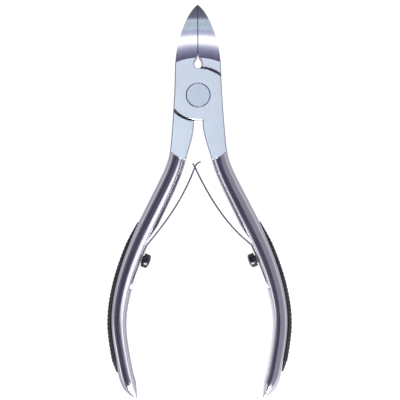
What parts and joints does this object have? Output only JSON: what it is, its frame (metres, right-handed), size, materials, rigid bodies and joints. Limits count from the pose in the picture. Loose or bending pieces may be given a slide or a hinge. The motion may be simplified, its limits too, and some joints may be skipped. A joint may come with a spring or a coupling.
{
  "type": "cuticle nipper",
  "caption": "Hand-held cuticle nipper: two lapped steel levers on a flush rivet, with crossed leaf springs between curved handles that carry rubber grip strips.",
  "frame": {"origin": "where the pivot's axis meets the joint's rear face, with the nipper lying on its back", "axes": "+X across the handles towards the handle of the front lever, +Y towards the jaw tips, +Z along the pivot's axis towards the front face"},
  "size_m": [0.0468, 0.0998, 0.0064],
  "materials": {
    "polished_steel": "stainless steel, mirror-polished jaws and handles, satin joint flats",
    "ground_steel": "ground flush with the joint",
    "spring_steel": "bright rolled spring steel",
    "blackened_steel": "black oxide, slightly glossy",
    "black_rubber": "matte black rubber with fine ribs"
  },
  "bodies": {
    "rear_half": {"rear_lever": "polished_steel", "pivot_rivet": "ground_steel", "left_spring_screw": "blackened_steel", "left_grip": "black_rubber"},
    "front_half": {"front_lever": "polished_steel", "right_spring_screw": "blackened_steel", "right_grip": "black_rubber"},
    "left_leaf": {"left_spring_leaf": "spring_steel"},
    "right_leaf": {"right_spring_leaf": "spring_steel"}
  },
  "joints": [
    {"name": "jaw_pivot", "type": "hinge", "parent": "rear_half", "child": "front_half", "pos_m": [0, 0, 0.0032], "axis": [0, 0, 1], "range_deg": [0, 12]},
    {"name": "left_leaf_flex", "type": "hinge", "parent": "rear_half", "child": "left_leaf", "pos_m": [-0.0132, -0.0385, 0.0032], "axis": [0, 0, 1], "range_deg": [-5.5, 0], "deforming": ["left_spring_leaf"]},
    {"name": "right_leaf_flex", "type": "hinge", "parent": "front_half", "child": "right_leaf", "pos_m": [0.0132, -0.0383, 0.0032], "axis": [0, 0, 1], "range_deg": [0, 5.5], "deforming": ["right_spring_leaf"]}
  ],
  "couplings": [
    {"joint": "left_leaf_flex", "follows": "jaw_pivot", "ratio": -0.455},
    {"joint": "right_leaf_flex", "follows": "jaw_pivot", "ratio": 0.455}
  ]
}
